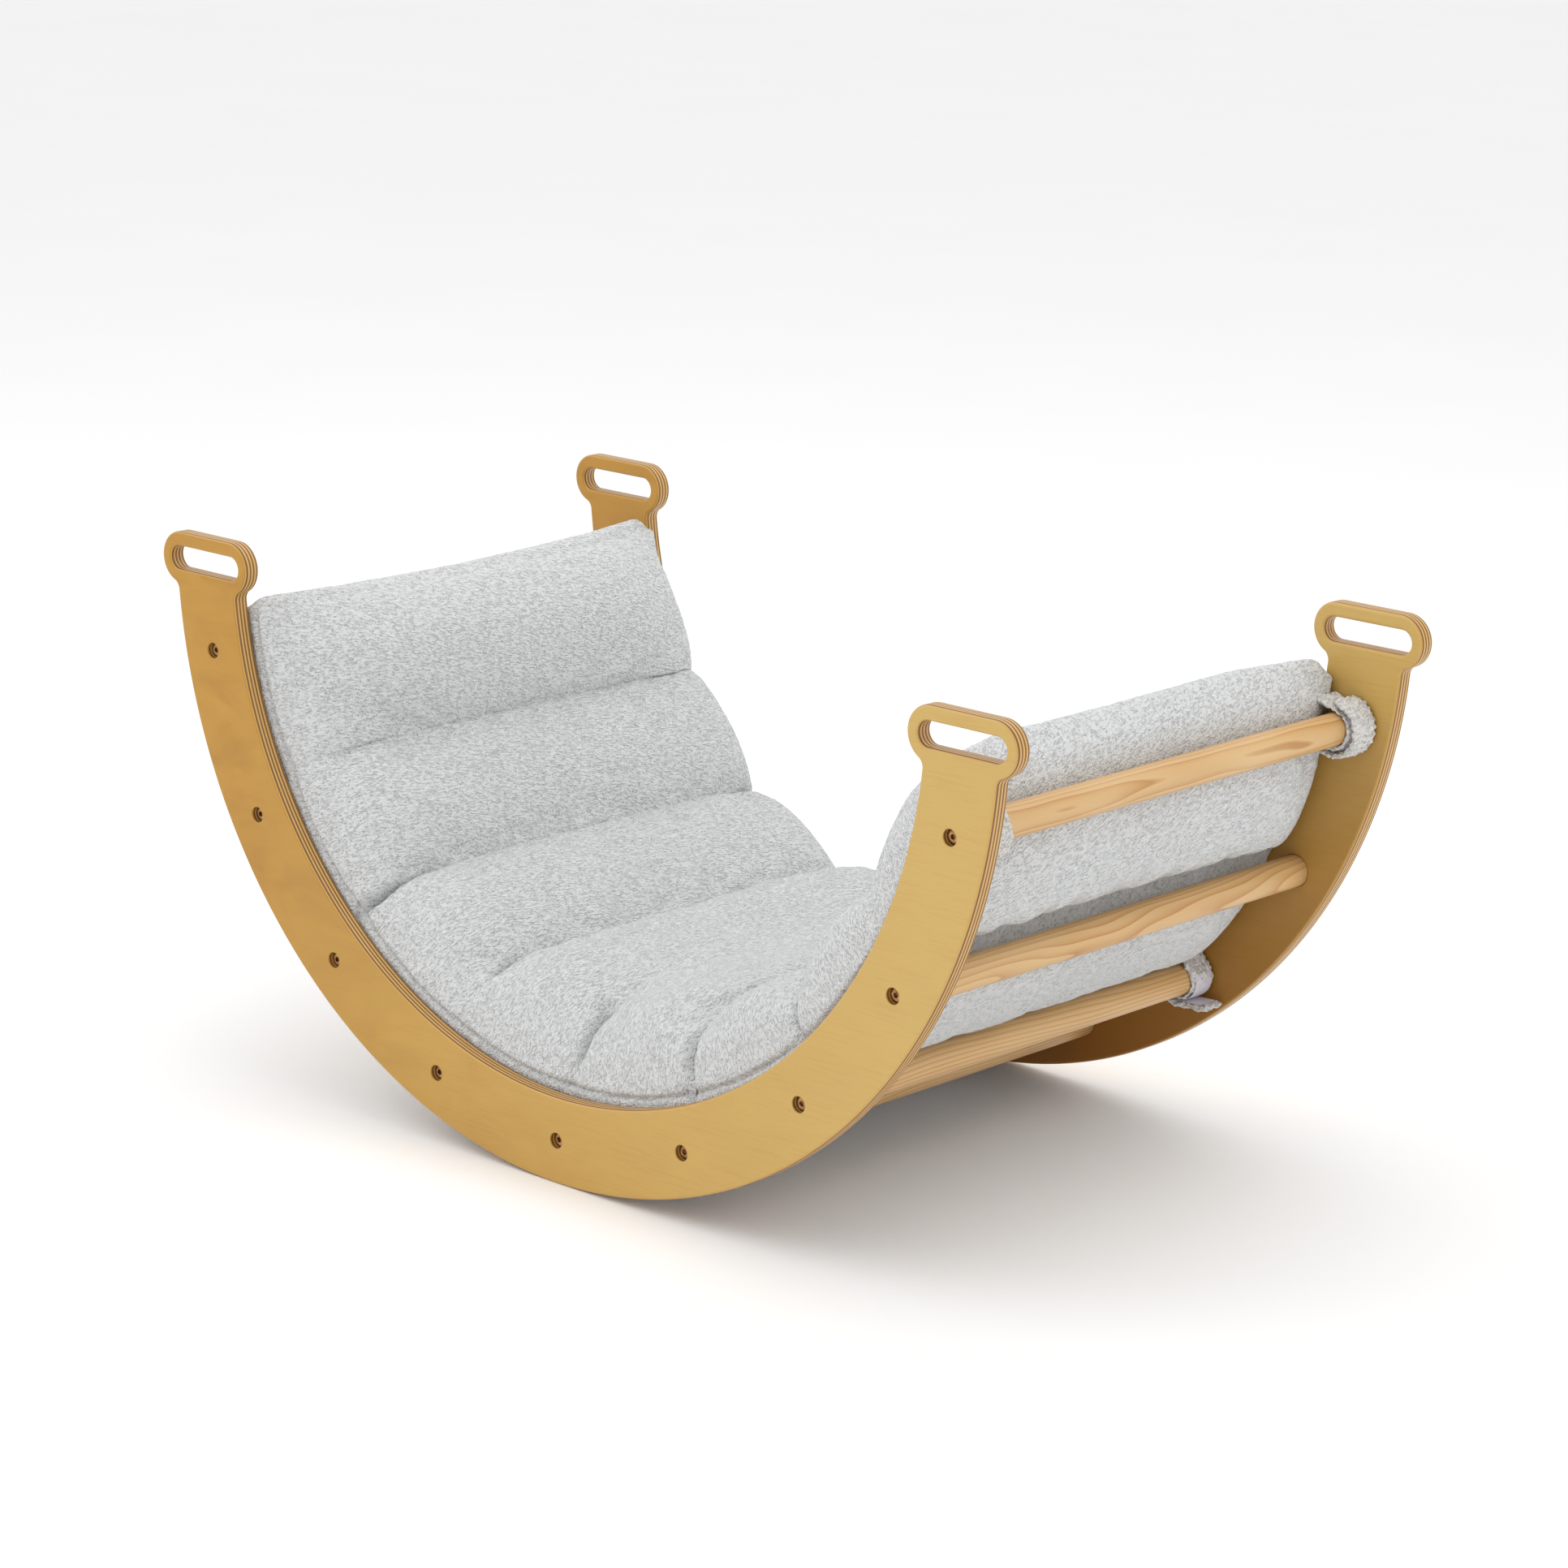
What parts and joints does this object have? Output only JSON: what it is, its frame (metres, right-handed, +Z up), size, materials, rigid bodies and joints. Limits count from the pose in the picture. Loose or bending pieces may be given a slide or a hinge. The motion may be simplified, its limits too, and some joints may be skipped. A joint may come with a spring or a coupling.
{
  "type": "seesaw",
  "caption": "Rocking arch seesaw with round rungs between plywood side panels, hand slots and a tied-in channel-sewn cushion.",
  "frame": {"origin": "on the floor, under the centre of the arch, midway between the two side panels", "axes": "+X along the arch from one pair of handles to the other, +Y across it from the front panel to the rear one, +Z up"},
  "size_m": [1.142, 0.6, 0.5575],
  "materials": {
    "birch_plywood": "satin varnish",
    "pine": "satin varnish",
    "bolt": "bronze plated",
    "insert": "zinc plated",
    "boucle": "looped pile",
    "filling": "matte fibre",
    "tape": "woven tape"
  },
  "bodies": {
    "rocker": {"side_panel_front": "birch_plywood", "side_panel_rear": "birch_plywood", "rung_1": "pine", "rung_2": "pine", "rung_3": "pine", "rung_4": "pine", "rung_5": "pine", "rung_6": "pine", "rung_7": "pine", "rung_8": "pine", "rung_9": "pine", "bolts_front": "bolt", "bolts_rear": "bolt", "inserts_front": "insert", "inserts_rear": "insert", "cushion_cover": "boucle", "fill_pad_1": "filling", "fill_pad_2": "filling", "fill_pad_3": "filling", "fill_pad_4": "filling", "fill_pad_5": "filling", "fill_pad_6": "filling", "fill_pad_7": "filling", "fill_pad_8": "filling", "under_strap_1": "boucle", "under_strap_2": "boucle", "under_strap_3": "boucle", "under_strap_4": "boucle", "under_strap_5": "boucle", "under_strap_6": "boucle", "under_strap_7": "boucle", "under_strap_8": "boucle", "loop_tapes": "tape"},
    "flap_1": {"over_strap_1": "boucle", "hook_tape_1": "tape"},
    "flap_2": {"over_strap_2": "boucle", "hook_tape_2": "tape"},
    "flap_3": {"over_strap_3": "boucle", "hook_tape_3": "tape"},
    "flap_4": {"over_strap_4": "boucle", "hook_tape_4": "tape"},
    "flap_5": {"over_strap_5": "boucle", "hook_tape_5": "tape"},
    "flap_6": {"over_strap_6": "boucle", "hook_tape_6": "tape"},
    "flap_7": {"over_strap_7": "boucle", "hook_tape_7": "tape"},
    "flap_8": {"over_strap_8": "boucle", "hook_tape_8": "tape"}
  },
  "joints": [
    {"name": "flap_1_fold", "type": "hinge", "parent": "rocker", "child": "flap_1", "pos_m": [0.4763, -0.2635, 0.42124], "axis": [0, 1, 0], "range_deg": [0, 90]},
    {"name": "flap_2_fold", "type": "hinge", "parent": "rocker", "child": "flap_2", "pos_m": [0.4763, 0.2635, 0.42124], "axis": [0, 1, 0], "range_deg": [0, 90]},
    {"name": "flap_3_fold", "type": "hinge", "parent": "rocker", "child": "flap_3", "pos_m": [0.28982, -0.2635, 0.1507], "axis": [0, 1, 0], "range_deg": [0, 90]},
    {"name": "flap_4_fold", "type": "hinge", "parent": "rocker", "child": "flap_4", "pos_m": [0.28982, 0.2635, 0.1507], "axis": [0, 1, 0], "range_deg": [0, 90]},
    {"name": "flap_5_fold", "type": "hinge", "parent": "rocker", "child": "flap_5", "pos_m": [-0.28982, -0.2635, 0.1507], "axis": [0, -1, 0], "range_deg": [0, 90]},
    {"name": "flap_6_fold", "type": "hinge", "parent": "rocker", "child": "flap_6", "pos_m": [-0.28982, 0.2635, 0.1507], "axis": [0, -1, 0], "range_deg": [0, 90]},
    {"name": "flap_7_fold", "type": "hinge", "parent": "rocker", "child": "flap_7", "pos_m": [-0.4763, -0.2635, 0.42124], "axis": [0, -1, 0], "range_deg": [0, 90]},
    {"name": "flap_8_fold", "type": "hinge", "parent": "rocker", "child": "flap_8", "pos_m": [-0.4763, 0.2635, 0.42124], "axis": [0, -1, 0], "range_deg": [0, 90]}
  ]
}
